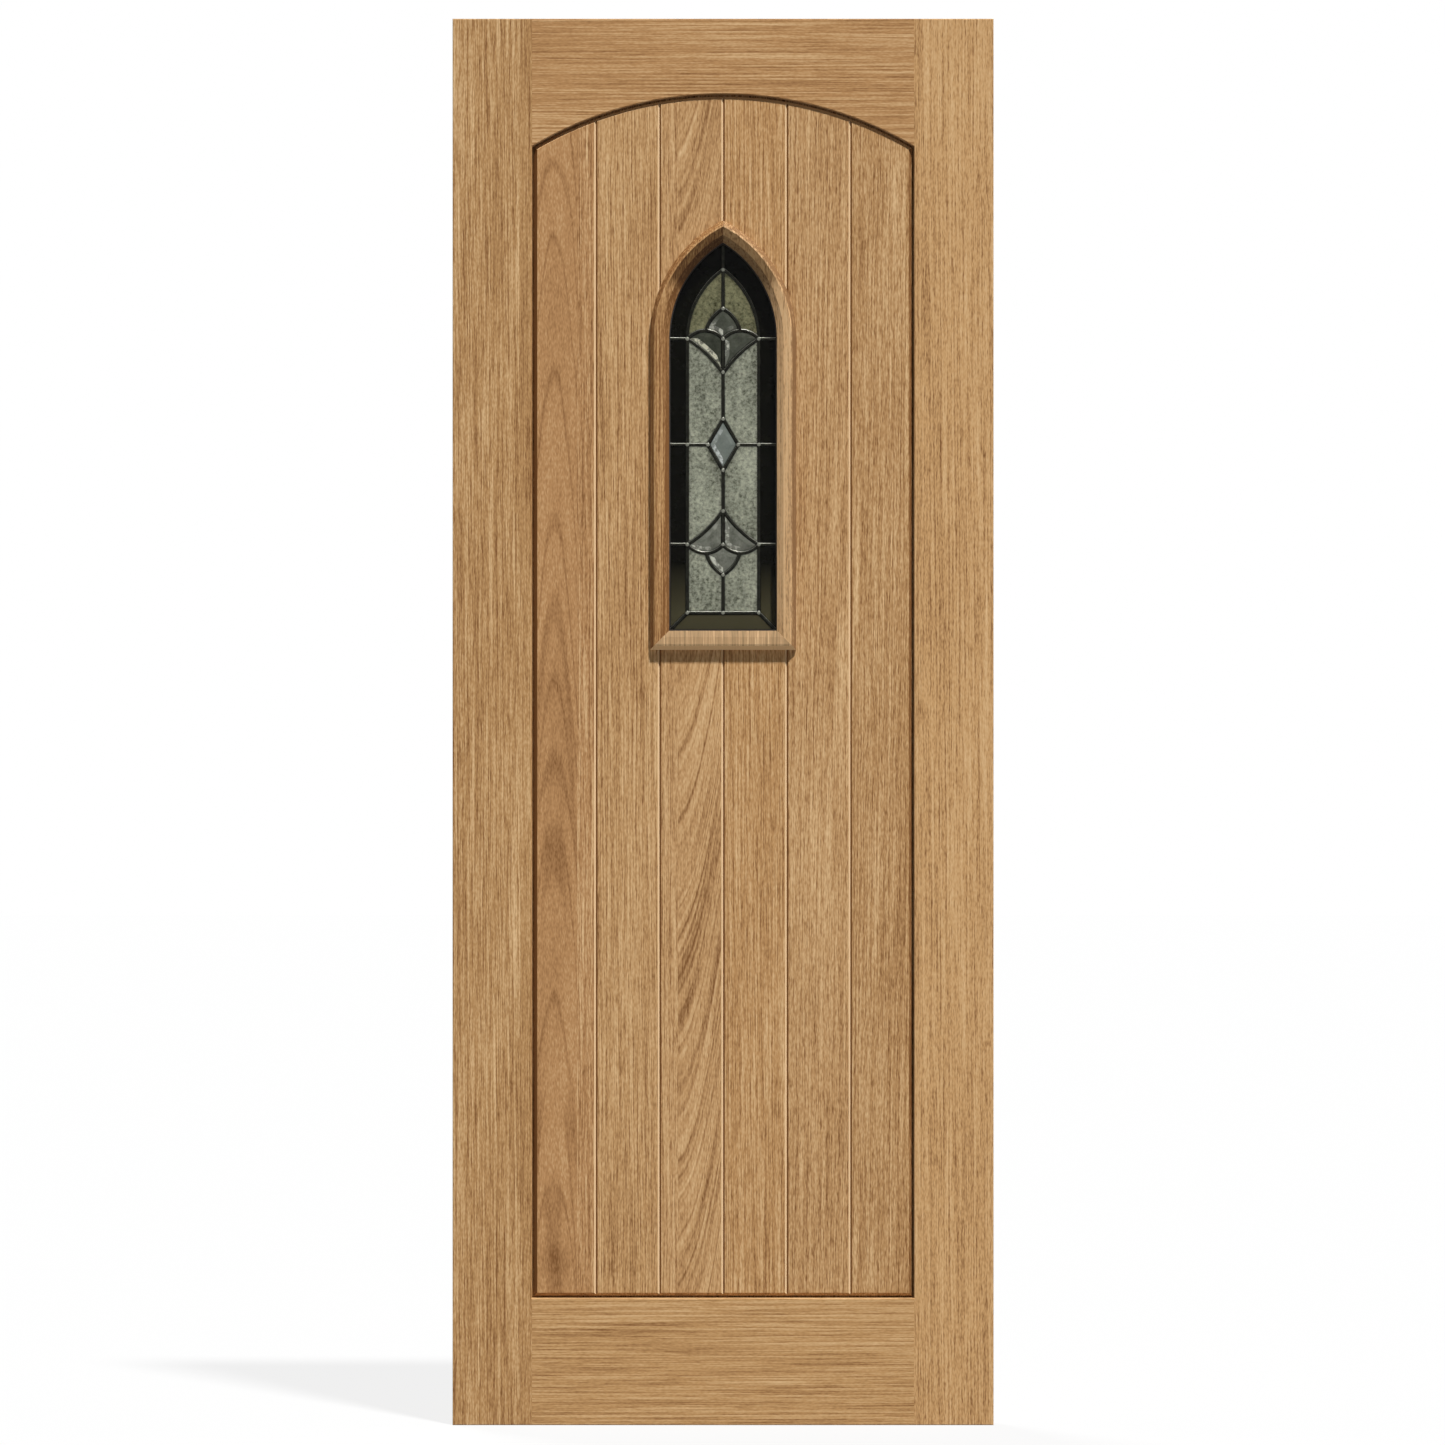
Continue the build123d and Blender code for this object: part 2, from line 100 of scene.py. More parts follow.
# Oak pieces. Each is one lamella, or two glued at a seam. Seams and knots are in mm. Shift moves the pattern
# along the grain, so that no two boards are alike. Painted shade and painted light list the ways that slopes
# are painted darker and paler by how they face, each as long as its strength.
oakPieces = {
    "left_stile": {"tone": "#b58b5a", "cuts": ["straight", "lipping"], "seam": -286, "shift": 0.4},
    "right_stile": {
        "tone": "#c69b68", "cuts": ["lipping", "flecked"], "seam": 280.5, "shift": 3.1,
        "knots": [
            {"at": (373, 537), "size": (9, 7), "dark": 0.4},
            {"at": (278, 1008), "size": (9, 26), "dark": 0.22},
        ],
    },
    "top_rail": {"tone": "#b68a5a", "cuts": ["lined"], "shift": 7.7, "run": "across"},
    "bottom_rail": {"tone": "#bd9361", "cuts": ["lined"], "shift": 12.3, "run": "across"},
    "board_1": {
        "tone": "#b6895a", "cuts": ["cathedral", "straight"], "seam": -205.6, "shift": 0.6,
        "knots": [{"at": (-238, 232), "size": (30, 34), "dark": 0.3}],
    },
    "board_2": {"tone": "#bc9261", "cuts": ["straight"], "shift": 5.2},
    "board_3": {"tone": "#be9464", "cuts": ["straight", "sweeping"], "seam": -63.4, "shift": 0},
    "board_4": {"tone": "#bb8f5d", "cuts": ["straight"], "shift": 9.4},
    "board_5": {"tone": "#ba9060", "cuts": ["speckled"], "shift": 14.6},
    # board_6: painted shade on its right chamfer, the shade of the stile
    "board_6": {"tone": "#b68c5c", "cuts": ["speckled"], "shift": 17.5, "paintedShade": [(1.7, 0, 0)]},
}
# Painted light and shade: a joint's slope that looks right is pale, one that looks left dark, and upper
# edges pale
boardEdges = {"arris": 1.1, "paintedLight": [(0, 0, 0.9)]}
for name in [name for name in oakPieces if name.startswith("board")]:
    oakPieces[name].update(boardEdges)
    if name != "board_6":  # its right edge lies in the shade of the stile
        oakPieces[name]["litArris"] = "#ecca9c"

# Mouldings: the left tone is darker and the right paler, painted shade and painted light on one oak; the
# bottom's darker tone is painted shade against the light on its slope that looks up
mouldings = {
    "left": {
        "tone": "#b98e5d", "cuts": ["straight"], "shift": 20,
        "paintedShade": [(0.75, 0, -0.3), (-0.5, 0, 0.1)],
    },
    "right": {
        "tone": "#dab07f", "dark": "#8d6945", "cuts": ["straight"], "shift": 23,
        "paintedShade": [(0.75, 0, 0.15)],
    },
    "bottom": {
        "tone": "#a3825b", "dark": "#75603f", "cuts": ["plain"], "shift": 26,
        "paintedShade": [(0, 0, 0.25)], "paintedLight": [(0, 0, -0.8)],
    },
}
# Upper stretch of the arches, with painted shade on the slopes that look down. It starts at a turn from the
# springing, taken at the arch's centre. Radius, of the arch's inner edge, and soft, the width of the change,
# are in mm.
paintedCrestShade = {
    "turn": radians(23.5), "soft": 20, "radius": 158, "under": (-0.02, -0.1),
    "left": "#9a9384", "right": "#aca89d",
}
for face in ("front", "rear"):
    for side in ("left", "right"):
        upright = f"{face}_moulding_side_{side}"
        oakPieces[upright] = mouldings[side]
        oakPieces[f"{face}_moulding_arch_{side}"] = {
            **mouldings[side], "grownWith": upright, "paintedCrestShade": paintedCrestShade[side]}
    oakPieces[f"{face}_moulding_bottom"] = mouldings["bottom"]


def grainPlace(tree, place, name, look):
    low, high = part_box(look.get("grownWith", name))  # grain runs on from one length into the next
    middle = (low + high) / 2
    if look.get("run") == "across":
        placed = {"Location": (middle.z, 0, -middle.x), "Rotation": (0, -pi / 2, 0)}
    else:
        placed = {"Location": (-middle.x, 0, -middle.z)}
    return addNode(tree, "ShaderNodeMapping", {"Vector": place, **placed}).outputs[0]


# Marks of the grain, widths in mm. A stretch is the share of a pattern's change that is left along the
# grain. Pores and grit are drawn wider than real ones, to show from afar.
midTone = 0.5  # noise swings about it, and a piece has its own colour there
grainMarks = {
    "band": 40, "bandStretch": 0.1, "bandWeight": 0.4, "line": 2.4, "lineStretch": 0.01,
    "ringEdge": 0.06, "ringPale": 0.1, "pore": 1.4, "poreEdges": (0.34, 0.52), "porePale": 0.35,
    "grit": 1.6, "gritStretch": 0.3,
}


def lamella(tree, grain, cut, shift):
    wander = cut["wander"] * mm
    moved = addNode(tree, "ShaderNodeMapping", {"Vector": grain, "Location": (0, 0, shift)}).outputs[0]
    drawn = addNode(tree, "ShaderNodeMapping", {
        "Vector": moved, "Scale": (1, 1, grainMarks["bandStretch"])}).outputs[0]
    bands = addNode(tree, "ShaderNodeTexNoise", {
        "Vector": drawn, "Scale": 1 / (grainMarks["band"] * mm), "Detail": 2.0}).outputs["Fac"]
    across, depth, along = addNode(tree, "ShaderNodeSeparateXYZ", {0: grain}).outputs

    # Where a point lies among the rings, and among the pores, which run straight but for the wander
    fromCrown = addNode(tree, "ShaderNodeMath", {
        0: across, 1: cut["crown"] * mm}, operation="SUBTRACT").outputs[0]
    slope = addNode(tree, "ShaderNodeMath", {
        0: fromCrown, 1: cut["bend"], 2: cut["across"]}, operation="MULTIPLY_ADD").outputs[0]
    ring = addNode(tree, "ShaderNodeMath", {0: fromCrown, 1: slope}, operation="MULTIPLY").outputs[0]
    for value, weight in ((along, cut["along"]), (bands, wander)):
        ring = addNode(tree, "ShaderNodeMath", {
            0: value, 1: weight, 2: ring}, operation="MULTIPLY_ADD").outputs[0]
    wavy = addNode(tree, "ShaderNodeMath", {
        0: bands, 1: wander, 2: across}, operation="MULTIPLY_ADD").outputs[0]
    places = []
    for aside, stretch in ((ring, grainMarks["lineStretch"]), (wavy, grainMarks["pore"] / cut["pore"])):
        place = addNode(tree, "ShaderNodeCombineXYZ", {0: aside, 1: depth, 2: along}).outputs[0]
        places.append(addNode(tree, "ShaderNodeMapping", {
            "Vector": place, "Location": (0, 0, shift), "Scale": (1, cut["through"], stretch)}).outputs[0])
    ringPlace, porePlace = places

    # A year's ring is a thin dark line
    year = addNode(tree, "ShaderNodeTexNoise", {
        "Vector": ringPlace, "Scale": 1 / (cut["year"] * mm), "Detail": 1.0}).outputs["Fac"]
    year = addNode(tree, "ShaderNodeMath", {0: year, 1: midTone}, operation="SUBTRACT").outputs[0]
    year = addNode(tree, "ShaderNodeMath", {0: year}, operation="ABSOLUTE").outputs[0]
    tone = addNode(tree, "ShaderNodeMapRange", {
        "Value": year, "From Max": grainMarks["ringEdge"],
        "To Min": -cut["rings"], "To Max": grainMarks["ringPale"] * cut["rings"],
    }, interpolation_type="SMOOTHSTEP").outputs[0]
    tone = addNode(tree, "ShaderNodeMath", {0: tone, 1: midTone - cut["deeper"]}, operation="ADD").outputs[0]

    # Pores are dark dashes, and the wood between them is a little paler for it
    pores = addNode(tree, "ShaderNodeTexNoise", {
        "Vector": porePlace, "Scale": 1 / (grainMarks["pore"] * mm), "Detail": 1.0}).outputs["Fac"]
    dashes = addNode(tree, "ShaderNodeMapRange", {
        "Value": pores, "From Min": grainMarks["poreEdges"][0], "From Max": grainMarks["poreEdges"][1],
        "To Min": -cut["pores"], "To Max": grainMarks["porePale"] * cut["pores"],
    }, interpolation_type="SMOOTHSTEP").outputs[0]
    tone = addNode(tree, "ShaderNodeMath", {0: tone, 1: dashes}, operation="ADD").outputs[0]

    fine = addNode(tree, "ShaderNodeTexNoise", {
        "Vector": ringPlace, "Scale": 1 / (grainMarks["line"] * mm), "Detail": 1.0, "Roughness": 0.6,
    }).outputs["Fac"]
    grainy = addNode(tree, "ShaderNodeMapping", {
        "Vector": moved, "Scale": (1, 1, grainMarks["gritStretch"])}).outputs[0]
    grit = addNode(tree, "ShaderNodeTexNoise", {
        "Vector": grainy, "Scale": 1 / (grainMarks["grit"] * mm), "Detail": 0.0}).outputs["Fac"]
    for value, weight in ((bands, grainMarks["bandWeight"]), (fine, cut["fine"]), (grit, cut["grit"])):
        swing = addNode(tree, "ShaderNodeMath", {0: value, 1: midTone}, operation="SUBTRACT").outputs[0]
        tone = addNode(tree, "ShaderNodeMath", {
            0: swing, 1: weight, 2: tone}, operation="MULTIPLY_ADD").outputs[0]
    return tone


knotEdges = (1.4, 0.5)  # in knot sizes from its heart


def knotShade(tree, place, knot):
    across, along = [size * mm for size in knot["at"]]
    wide, tall = [size * mm for size in knot["size"]]
    ragged = addNode(tree, "ShaderNodeTexNoise", {
        "Vector": place, "Scale": 1 / wide, "Detail": 3.0, "Distortion": 1.0}).outputs["Fac"]
    spot = addNode(tree, "ShaderNodeMapping", {
        "Vector": place, "Location": (-across / wide, 0, -along / tall), "Scale": (1 / wide, 0, 1 / tall),
    }).outputs[0]
    reach = addNode(tree, "ShaderNodeVectorMath", {0: spot}, operation="LENGTH").outputs["Value"]
    reach = addNode(tree, "ShaderNodeMath", {0: reach, 1: ragged}, operation="ADD").outputs[0]
    return addNode(tree, "ShaderNodeMapRange", {
        "Value": reach, "From Min": knotEdges[0], "From Max": knotEdges[1], "To Max": knot["dark"],
    }).outputs[0]


# 1 where shade is painted on the slopes of the crest that look down, on both sides alike
def crestShade(tree, place, facing):
    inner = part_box("front_moulding_side_right")[0].x
    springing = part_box("front_moulding_side_right")[1].z
    rise, run = cos(paintedCrestShade["turn"]), sin(paintedCrestShade["turn"])
    start = springing * rise + (paintedCrestShade["radius"] * mm - inner) * run
    folded = addNode(tree, "ShaderNodeVectorMath", {0: place}, operation="ABSOLUTE").outputs[0]
    past = addNode(tree, "ShaderNodeVectorMath", {
        0: folded, 1: (-run, 0, rise)}, operation="DOT_PRODUCT").outputs["Value"]
    near = addNode(tree, "ShaderNodeMapRange", {
        "Value": past, "From Min": start, "From Max": start + paintedCrestShade["soft"] * mm}).outputs[0]
    up = addNode(tree, "ShaderNodeSeparateXYZ", {0: facing}).outputs[2]
    under = addNode(tree, "ShaderNodeMapRange", {
        "Value": up, "From Min": paintedCrestShade["under"][0], "From Max": paintedCrestShade["under"][1]}).outputs[0]
    return addNode(tree, "ShaderNodeMath", {0: near, 1: under}, operation="MULTIPLY").outputs[0]


# Oiled oak, planed and sanded: satin, long fine pores, and growth rings that show as lines or arches.
# The depth of the relief is in mm.
oakSurface = {
    "dark": "#7c532d", "light": "#e2bf90", "lamellaShift": 2, "litEdges": (0.3, 0.6),
    "relief": 0.25, "reliefDepth": 0.3, "roughDark": 0.62, "roughPale": 0.5,
}


def oakFinish(name, look):
    finish, tree = newFinish("oiled_oak_" + name)
    place = addNode(tree, "ShaderNodeTexCoord").outputs["Object"]
    grain = grainPlace(tree, place, name, look)
    lamellae = []
    for number, cut in enumerate(look["cuts"]):
        shift = look["shift"] + oakSurface["lamellaShift"] * number
        lamellae.append(lamella(tree, grain, {**usualCut, **oakCuts[cut]}, shift))
    tone = lamellae[0]
    if "seam" in look:
        across = addNode(tree, "ShaderNodeSeparateXYZ", {0: place}).outputs[0]
        past = addNode(tree, "ShaderNodeMath", {
            0: across, 1: look["seam"] * mm}, operation="GREATER_THAN").outputs[0]
        tone = addNode(tree, "ShaderNodeMix", {0: past, 2: lamellae[0], 3: lamellae[1]}).outputs[0]
    for knot in look.get("knots", []):
        dark = knotShade(tree, place, knot)
        tone = addNode(tree, "ShaderNodeMath", {0: tone, 1: dark}, operation="SUBTRACT").outputs[0]
    relief = addNode(tree, "ShaderNodeBump", {
        "Height": tone, "Strength": oakSurface["relief"], "Distance": oakSurface["reliefDepth"] * mm,
    }).outputs[0]

    facing = addNode(tree, "ShaderNodeNewGeometry").outputs["True Normal"]
    # painted light and shade: paler where a face looks right, darker where it looks left
    if "arris" in look:
        aside = addNode(tree, "ShaderNodeSeparateXYZ", {0: facing}).outputs[0]
        tone = addNode(tree, "ShaderNodeMath", {
            0: aside, 1: look["arris"], 2: tone}, operation="MULTIPLY_ADD").outputs[0]
    # painted shade and painted light on slopes, by the way they face
    for change, operation in (("paintedShade", "SUBTRACT"), ("paintedLight", "ADD")):
        for side in look.get(change, []):
            turned = addNode(tree, "ShaderNodeVectorMath", {0: facing, 1: side}, operation="DOT_PRODUCT")
            amount = addNode(tree, "ShaderNodeMath", {
                0: turned.outputs["Value"], 1: 0}, operation="MAXIMUM").outputs[0]
            tone = addNode(tree, "ShaderNodeMath", {0: tone, 1: amount}, operation=operation).outputs[0]

    colour = addNode(tree, "ShaderNodeValToRGB", {"Fac": tone}, stops=[
        (0.0, linear(look.get("dark", oakSurface["dark"]))),
        (midTone, linear(look["tone"])),
        (1.0, linear(oakSurface["light"])),
    ]).outputs[0]
    # painted highlight on the joint slopes that look right
    if "litArris" in look:
        lit = addNode(tree, "ShaderNodeMapRange", {
            "Value": aside, "From Min": oakSurface["litEdges"][0], "From Max": oakSurface["litEdges"][1],
        }).outputs[0]
        colour = addNode(tree, "ShaderNodeMix", {
            0: lit, 6: colour, 7: linear(look["litArris"])}, data_type="RGBA").outputs[2]
    # painted shade on the arch's upper slopes that look down
    if "paintedCrestShade" in look:
        shade = crestShade(tree, place, facing)
        colour = addNode(tree, "ShaderNodeMix", {
            0: shade, 6: colour, 7: linear(look["paintedCrestShade"]),
        }, data_type="RGBA", blend_type="MULTIPLY").outputs[2]
    gloss = addNode(tree, "ShaderNodeMapRange", {
        "Value": tone, "To Min": oakSurface["roughDark"], "To Max": oakSurface["roughPale"]}).outputs[0]
    shader = addNode(tree, "ShaderNodeBsdfPrincipled", {
        "Base Color": colour, "Roughness": gloss, "Normal": relief, "IOR": 1.5, "Specular IOR Level": 0.2,
    }).outputs[0]
    applyFinish(finish, shader, [name])


for name, look in oakPieces.items():
    oakFinish(name, look)
print("oak finished,", len(oakPieces), "pieces")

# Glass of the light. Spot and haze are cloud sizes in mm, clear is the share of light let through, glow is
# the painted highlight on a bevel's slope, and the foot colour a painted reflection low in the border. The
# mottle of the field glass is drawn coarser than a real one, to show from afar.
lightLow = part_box("lead_cames")[0]
glassLooks = {
    "smoked_border_glass": {  # near black and smooth, with a painted reflection, browner, at the foot
        "nodes": [name for name in cadNodes if name.startswith("border_glass")],
        "dark": "#060603", "light": "#0f0f08", "spot": 30, "rough": 0.05, "clear": 0.08,
        "foot": "#4b4733",
    },
    "obscure_field_glass": {  # grey-green and finely mottled, with slanting haze
        "nodes": [name for name in cadNodes if name.startswith("field_glass") and not name.endswith("top")],
        "dark": "#3a3d2e", "light": "#cacdb7", "spot": 4.5, "rough": 0.45, "clear": 0.4, "haze": 32,
    },
    "olive_field_glass": {  # the same glass under the crown, darker and more yellow
        "nodes": ["field_glass_left_top", "field_glass_right_top"],
        "dark": "#262612", "light": "#9b9974", "spot": 4.5, "rough": 0.45, "clear": 0.3, "haze": 32,
    },
    "grey_bevel_glass": {  # polished, dark grey, with short painted glints on the bevels
        "nodes": ["bevel_upper_centre", "bevel_upper_right"],
        "dark": "#42453a", "light": "#5e6155", "spot": 14, "rough": 0.08, "clear": 0.2, "glow": "#fafbea",
    },
    "glinting_bevel_glass": {  # polished, the darkest grey, with the brightest painted glints
        "nodes": ["bevel_upper_left"],
        "dark": "#2f3228", "light": "#4b4e43", "spot": 14, "rough": 0.08, "clear": 0.1, "glow": "#fffde2",
    },
    "clear_bevel_glass": {  # polished, mid grey, with smaller clouds and painted glints
        "nodes": [name for name in cadNodes if name.startswith("bevel_lower")],
        "dark": "#5f6156", "light": "#888a7e", "spot": 10, "rough": 0.08, "clear": 0.2, "glow": "#fafbea",
    },
    "pale_bevel_glass": {  # polished, the palest grey, with painted glints
        "nodes": ["bevel_diamond"],
        "dark": "#737b73", "light": "#8a918a", "spot": 14, "rough": 0.08, "clear": 0.2, "glow": "#f4f9f5",
    },
}
cloudStops = (0.33, 0.67)  # where the noise is dark glass, and where light
hazeDrift = {"turn": radians(35), "stretch": 0.35, "weight": -0.35}  # leaning streaks
footRise = (100, 25)  # mm above the foot of the light, where the painted reflection begins and is full
# Painted glints: bevels that look to this side are painted pale, in patches, and at least a little between
# them
paintedGlint = {"side": (-0.8, 0, -0.6), "edges": (0.02, 0.25), "breaks": (0.48, 0.56), "least": 0.2}
# Cement rubbed in under the cames, a dark line where the glass meets them, set by ambient occlusion and so
# also painted shade in that crease. Reach in mm.
cementAndShade = {"reach": 3, "tone": "#0c0c09", "edges": (0.9, 0.7)}


# Each glass is clouded, and its clouds also break up the painted glints of its bevels
def glassFinish(label, look):
    finish, tree = newFinish(label)
    place = addNode(tree, "ShaderNodeTexCoord").outputs["Object"]
    cloud = addNode(tree, "ShaderNodeTexNoise", {
        "Vector": place, "Scale": 1 / (look["spot"] * mm), "Detail": 5.0, "Roughness": 0.75,
    }).outputs["Fac"]
    if "haze" in look:
        slanted = addNode(tree, "ShaderNodeMapping", {
            "Vector": place, "Rotation": (0, hazeDrift["turn"], 0), "Scale": (1, 1, hazeDrift["stretch"]),
        }).outputs[0]
        haze = addNode(tree, "ShaderNodeTexNoise", {
            "Vector": slanted, "Scale": 1 / (look["haze"] * mm)}).outputs["Fac"]
        haze = addNode(tree, "ShaderNodeMath", {0: haze, 1: midTone}, operation="SUBTRACT").outputs[0]
        cloud = addNode(tree, "ShaderNodeMath", {
            0: haze, 1: hazeDrift["weight"], 2: cloud}, operation="MULTIPLY_ADD").outputs[0]
    colour = addNode(tree, "ShaderNodeValToRGB", {"Fac": cloud}, stops=[
        (cloudStops[0], linear(look["dark"])), (cloudStops[1], linear(look["light"])),
    ]).outputs[0]
    # painted reflection, browner, low in the border glass
    if "foot" in look:
        height = addNode(tree, "ShaderNodeSeparateXYZ", {0: place}).outputs[2]
        begins, full = [lightLow.z + rise * mm for rise in footRise]
        near = addNode(tree, "ShaderNodeMapRange", {
            "Value": height, "From Min": begins, "From Max": full}).outputs[0]
        colour = addNode(tree, "ShaderNodeMix", {
            0: near, 6: colour, 7: linear(look["foot"])}, data_type="RGBA").outputs[2]
    # painted glints on the bevel slopes that look to one side
    if "glow" in look:
        facing = addNode(tree, "ShaderNodeNewGeometry").outputs["True Normal"]
        lit = addNode(tree, "ShaderNodeVectorMath", {
            0: facing, 1: paintedGlint["side"]}, operation="DOT_PRODUCT").outputs["Value"]
        lit = addNode(tree, "ShaderNodeMapRange", {
            "Value": lit, "From Min": paintedGlint["edges"][0], "From Max": paintedGlint["edges"][1]}).outputs[0]
        broken = addNode(tree, "ShaderNodeMapRange", {
            "Value": cloud, "From Min": paintedGlint["breaks"][0], "From Max": paintedGlint["breaks"][1],
            "To Min": paintedGlint["least"],
        }).outputs[0]
        lit = addNode(tree, "ShaderNodeMath", {0: lit, 1: broken}, operation="MULTIPLY").outputs[0]
        colour = addNode(tree, "ShaderNodeMix", {
            0: lit, 6: colour, 7: linear(look["glow"])}, data_type="RGBA").outputs[2]
    # dark cement line and painted shade where the glass meets the cames, by ambient occlusion
    free = addNode(tree, "ShaderNodeAmbientOcclusion", {
        "Distance": cementAndShade["reach"] * mm}, samples=8).outputs["AO"]
    corner = addNode(tree, "ShaderNodeMapRange", {
        "Value": free, "From Min": cementAndShade["edges"][0], "From Max": cementAndShade["edges"][1]}).outputs[0]
    colour = addNode(tree, "ShaderNodeMix", {
        0: corner, 6: colour, 7: linear(cementAndShade["tone"])}, data_type="RGBA").outputs[2]
    shader = addNode(tree, "ShaderNodeBsdfPrincipled", {
        "Base Color": colour, "Roughness": look["rough"], "Transmission Weight": look["clear"],
        "IOR": 1.5, "Specular IOR Level": 0.02,
    }).outputs[0]
    applyFinish(finish, shader, look["nodes"])


for label, look in glassLooks.items():
    glassFinish(label, look)

# Clear float glass: not seen from straight on, and from a slant on it turns to a faint mirror
floatGlass = {"nodes": ["front_pane", "rear_pane"], "rough": 0.02, "from": 0.3, "most": 0.3}
finish, tree = newFinish("clear_float_glass")
mirror = addNode(tree, "ShaderNodeBsdfGlossy", {"Roughness": floatGlass["rough"]}).outputs[0]
through = addNode(tree, "ShaderNodeBsdfTransparent").outputs[0]
slant = addNode(tree, "ShaderNodeLayerWeight", {"Blend": 0.5}).outputs["Facing"]
edge = addNode(tree, "ShaderNodeMapRange", {
    "Value": slant, "From Min": floatGlass["from"], "To Max": floatGlass["most"]}).outputs[0]
shader = addNode(tree, "ShaderNodeMixShader", {0: edge, 1: through, 2: mirror}).outputs[0]
applyFinish(finish, shader, floatGlass["nodes"])

# Lead and the plain finishes, spots in mm
plainLooks = {
    "patinated_lead": {  # dull and near black, with a painted highlight on edges that look up
        "nodes": ["lead_cames"], "paintedHighlight": "#c4c5b6",
        "dark": "#11110c", "light": "#26261e", "rough": 0.35, "metal": 0.8,
    },
    "black_glazing_tape": {  # matt, a soft brown-black line
        "nodes": ["front_glazing_tape", "rear_glazing_tape"],
        "dark": "#130d07", "light": "#1e150c", "rough": 0.7, "metal": 0,
    },
    "mill_aluminium": {  # dull grey metal with a soft shine
        "nodes": ["front_spacer_bar", "rear_spacer_bar"],
        "dark": "#3c3c38", "light": "#55554f", "rough": 0.5, "metal": 0.6,
    },
    "butyl_sealant": {  # matt black
        "nodes": ["edge_sealant"], "dark": "#141413", "light": "#20201e", "rough": 0.8, "metal": 0,
    },
    "nylon_block": {  # dark grey, half matt
        "nodes": ["setting_blocks"], "dark": "#2b2b2b", "light": "#3a3a3a", "rough": 0.6, "metal": 0,
    },
    "bright_steel_wire": {  # drawn wire, pale and shiny
        "nodes": ["moulding_brads"], "dark": "#77787a", "light": "#9b9c9e", "rough": 0.35, "metal": 1,
    },
}
plainSpots = {"size": 5, "stops": (0.3, 0.7)}
roundingAndHighlight = {"radius": 1.5, "edges": (0.2, 0.6)}  # edges rounded in shading, with a painted highlight where they look up


def plainFinish(label, look):
    finish, tree = newFinish(label)
    place = addNode(tree, "ShaderNodeTexCoord").outputs["Object"]
    cloud = addNode(tree, "ShaderNodeTexNoise", {
        "Vector": place, "Scale": 1 / (plainSpots["size"] * mm), "Detail": 3.0}).outputs["Fac"]
    colour = addNode(tree, "ShaderNodeValToRGB", {"Fac": cloud}, stops=[
        (plainSpots["stops"][0], linear(look["dark"])), (plainSpots["stops"][1], linear(look["light"])),
    ]).outputs[0]
    shaped = {}
    # painted highlight on the rounded edges that look up
    if "paintedHighlight" in look:
        rounded = addNode(tree, "ShaderNodeBevel", {"Radius": roundingAndHighlight["radius"] * mm}, samples=6).outputs[0]
        shaped["Normal"] = rounded
        up = addNode(tree, "ShaderNodeSeparateXYZ", {0: rounded}).outputs[2]
        highlighted = addNode(tree, "ShaderNodeMapRange", {
            "Value": up, "From Min": roundingAndHighlight["edges"][0], "From Max": roundingAndHighlight["edges"][1]}).outputs[0]
        colour = addNode(tree, "ShaderNodeMix", {
            0: highlighted, 6: colour, 7: linear(look["paintedHighlight"])}, data_type="RGBA").outputs[2]
    shader = addNode(tree, "ShaderNodeBsdfPrincipled", {
        "Base Color": colour, "Roughness": look["rough"], "Metallic": look["metal"], **shaped,
    }).outputs[0]
    applyFinish(finish, shader, look["nodes"])


for label, look in plainLooks.items():
    plainFinish(label, look)
print("light finished")

# Solder joints: a flat drop on both faces wherever cames meet, sizes in mm
solder = {"width": 5.2, "proud": 0.6, "segments": 16, "tone": "#7b7c71", "rough": 0.3, "metal": 0.8}
# From the edge of the glass to the middle of a came
heart = (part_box("border_glass_right_1")[0].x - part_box("field_glass_right_1")[1].x) / 2
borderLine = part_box("border_glass_right_1")[0].x - heart
crossings = [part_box(f"border_glass_right_{number}")[1].z + heart for number in (1, 2, 3)]
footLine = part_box("border_glass_bottom")[1].z + heart
diamondLow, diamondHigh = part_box("bevel_diamond")
joints = [(side * borderLine, height) for side in (-1, 1) for height in (*crossings, footLine)]
joints += [(side * (diamondHigh.x + heart), crossings[1]) for side in (-1, 1)]
joints += [(0, height) for height in (
    footLine, diamondLow.z - heart, diamondHigh.z + heart, crossings[0], crossings[2],
    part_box("bevel_lower_centre")[0].z - heart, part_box("bevel_lower_left")[1].z + heart,
    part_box("bevel_upper_left")[0].z - heart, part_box("bevel_upper_centre")[1].z + heart,
    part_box("field_glass_right_top")[1].z + heart,
)]
bpy.ops.object.select_all(action="DESELECT")
bpy.ops.mesh.primitive_uv_sphere_add(
    segments=solder["segments"], ring_count=solder["segments"] // 2, radius=solder["width"] / 2 * mm,
    location=(0, 0, 0))
drop = bpy.context.object
bpy.ops.object.mode_set(mode="EDIT")
bpy.ops.mesh.select_all(action="SELECT")
bpy.ops.transform.resize(value=(1, 2 * solder["proud"] / solder["width"], 1))
bpy.ops.mesh.bisect(plane_co=(0, 0, 0), plane_no=(0, 1, 0), clear_outer=True)
bpy.ops.mesh.select_all(action="SELECT")
bpy.ops.transform.translate(value=(0, lightLow.y, 0))
bpy.ops.object.mode_set(mode="OBJECT")
bothFaces = drop.modifiers.new("both_faces", "MIRROR")
bothFaces.use_axis = (False, True, False)
bpy.ops.object.modifier_apply(modifier=bothFaces.name)
bpy.ops.object.shade_smooth()

# Tinned solder: paler and brighter than the lead beside it
finish, tree = newFinish("tinned_solder")
shader = addNode(tree, "ShaderNodeBsdfPrincipled", {
    "Base Color": linear(solder["tone"]), "Roughness": solder["rough"], "Metallic": solder["metal"],
}).outputs[0]
addNode(tree, "ShaderNodeOutputMaterial", {"Surface": shader})
drop.data.materials.append(finish)

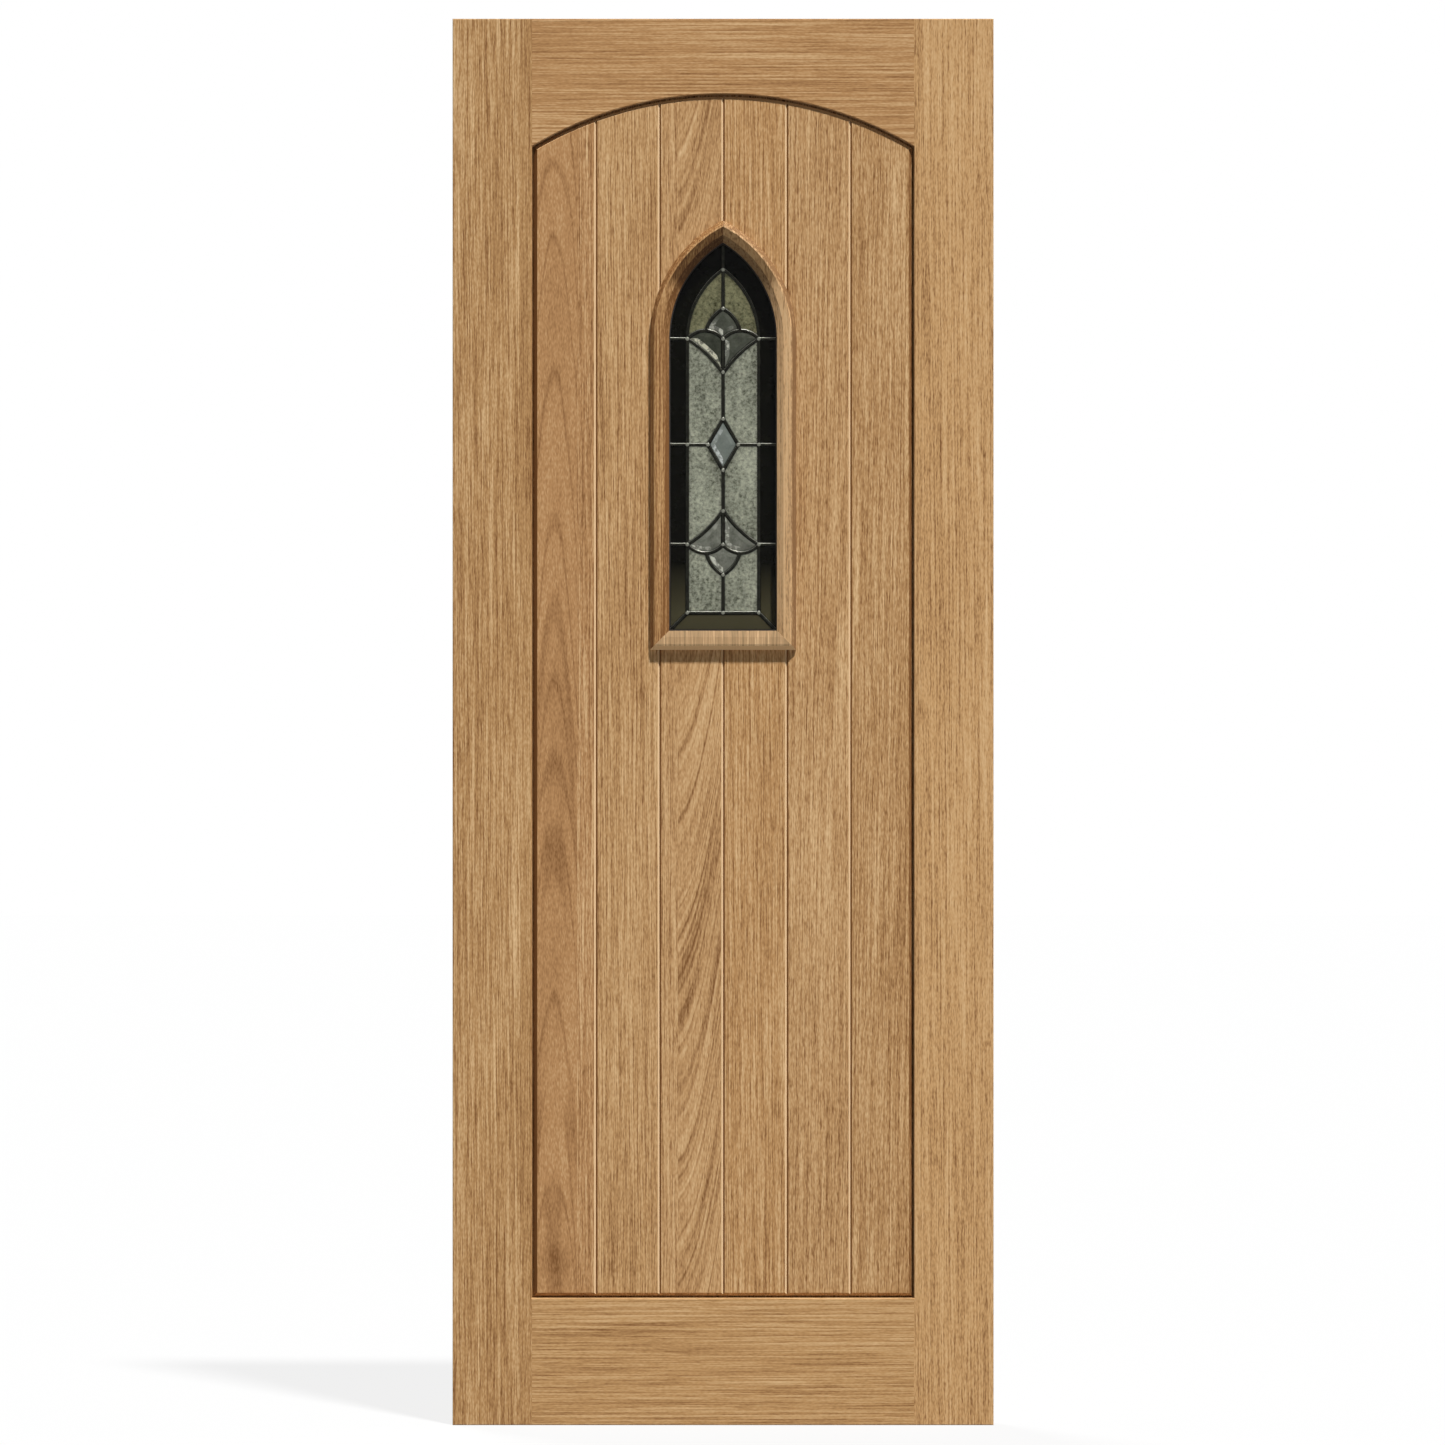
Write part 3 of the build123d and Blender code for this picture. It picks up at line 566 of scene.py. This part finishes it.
drops = [drop] + [drop.copy() for place in joints[1:]]
for joint in drops[1:]:  # each copy has its own mesh
    joint.data = drop.data.copy()
    bpy.context.scene.collection.objects.link(joint)
for number, (joint, (across, height)) in enumerate(zip(drops, joints)):
    joint.name = f"solder_joint_{number + 1}"
    joint.location = (across, 0, height)
    bpy.ops.object.select_all(action="DESELECT")
    joint.select_set(True)
    bpy.context.view_layer.objects.active = joint
    bpy.ops.object.transform_apply(location=True, rotation=False, scale=False)
    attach(joint, "root")
print("solder joints,", len(joints))

# Stage: a white sky, and a floor that looks white and still takes the shadow. The camera sees the floor's
# grey and glow, and its bounce lights the leaf.
stage = {
    "floorSize": 60, "floorGrey": "#5a5a5a", "floorBounce": "#868686", "floorGlow": 0.82, "floorRough": 0.9,
    "skyFill": 0.04,
}


# 1 for what the camera sees, straight, in a mirror or through glass
def seenRays(tree):
    path = addNode(tree, "ShaderNodeLightPath").outputs
    seen = addNode(tree, "ShaderNodeMath", {
        0: path["Is Camera Ray"], 1: path["Is Glossy Ray"]}, operation="ADD").outputs[0]
    return addNode(tree, "ShaderNodeMath", {
        0: seen, 1: path["Is Transmission Ray"]}, operation="ADD", use_clamp=True).outputs[0]


bpy.ops.object.select_all(action="DESELECT")
bpy.ops.mesh.primitive_plane_add(size=stage["floorSize"], location=(0, 0, 0))
floor = bpy.context.object
floor.name = "studio_floor"
finish, tree = newFinish("studio_floor")
seen = seenRays(tree)
glow = addNode(tree, "ShaderNodeMath", {0: seen, 1: stage["floorGlow"]}, operation="MULTIPLY").outputs[0]
tint = addNode(tree, "ShaderNodeMix", {
    0: seen, 6: linear(stage["floorBounce"]), 7: linear(stage["floorGrey"])}, data_type="RGBA").outputs[2]
shader = addNode(tree, "ShaderNodeBsdfPrincipled", {
    "Base Color": tint, "Roughness": stage["floorRough"], "Specular IOR Level": 0.0,
    "Emission Color": (1, 1, 1, 1), "Emission Strength": glow,
}).outputs[0]
addNode(tree, "ShaderNodeOutputMaterial", {"Surface": shader})
floor.data.materials.append(finish)

world = bpy.data.worlds.new("studio_sky")
bpy.context.scene.world = world
world.use_nodes = True
tree = world.node_tree
tree.nodes.clear()
level = addNode(tree, "ShaderNodeMapRange", {
    "Value": seenRays(tree), "To Min": stage["skyFill"], "To Max": 1.0}).outputs[0]
sky = addNode(tree, "ShaderNodeBackground", {"Color": (1, 1, 1, 1), "Strength": level}).outputs[0]
addNode(tree, "ShaderNodeOutputWorld", {"Surface": sky})

# A key light above and a little to the right, and a softer one from behind. Spread in degrees.
lamps = {
    "key_sun": {"strength": 4.62, "spread": 5, "toLight": (0.22, -0.47, 0.85)},
    "back_sun": {"strength": 2.4, "spread": 20, "toLight": (-0.35, 0.75, 0.56)},
}
for name, look in lamps.items():
    lamp = bpy.data.lights.new(name, "SUN")
    lamp.energy = look["strength"]
    lamp.angle = radians(look["spread"])
    holder = bpy.data.objects.new(name, lamp)
    holder.rotation_euler = Vector(look["toLight"]).to_track_quat("Z", "Y").to_euler()
    bpy.context.scene.collection.objects.link(holder)

# Camera straight on, far off with a long lens. Lens and sensor in mm, the rest in m.
camera = {
    "lens": 200, "sensor": 36, "frameWidth": 2.0353, "height": 0.9897, "aside": -0.0008, "clipEnd": 100,
}
eye = bpy.data.cameras.new("camera")
eye.lens = camera["lens"]
eye.sensor_width = camera["sensor"]
eye.clip_end = camera["clipEnd"]
viewer = bpy.data.objects.new("camera", eye)
distance = camera["frameWidth"] * camera["lens"] / camera["sensor"]
viewer.location = (camera["aside"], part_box("left_stile")[0].y - distance, camera["height"])
viewer.rotation_euler = (pi / 2, 0, 0)
bpy.context.scene.collection.objects.link(viewer)
bpy.context.scene.camera = viewer
bpy.context.scene.view_settings.view_transform = "Standard"
print("stage set")
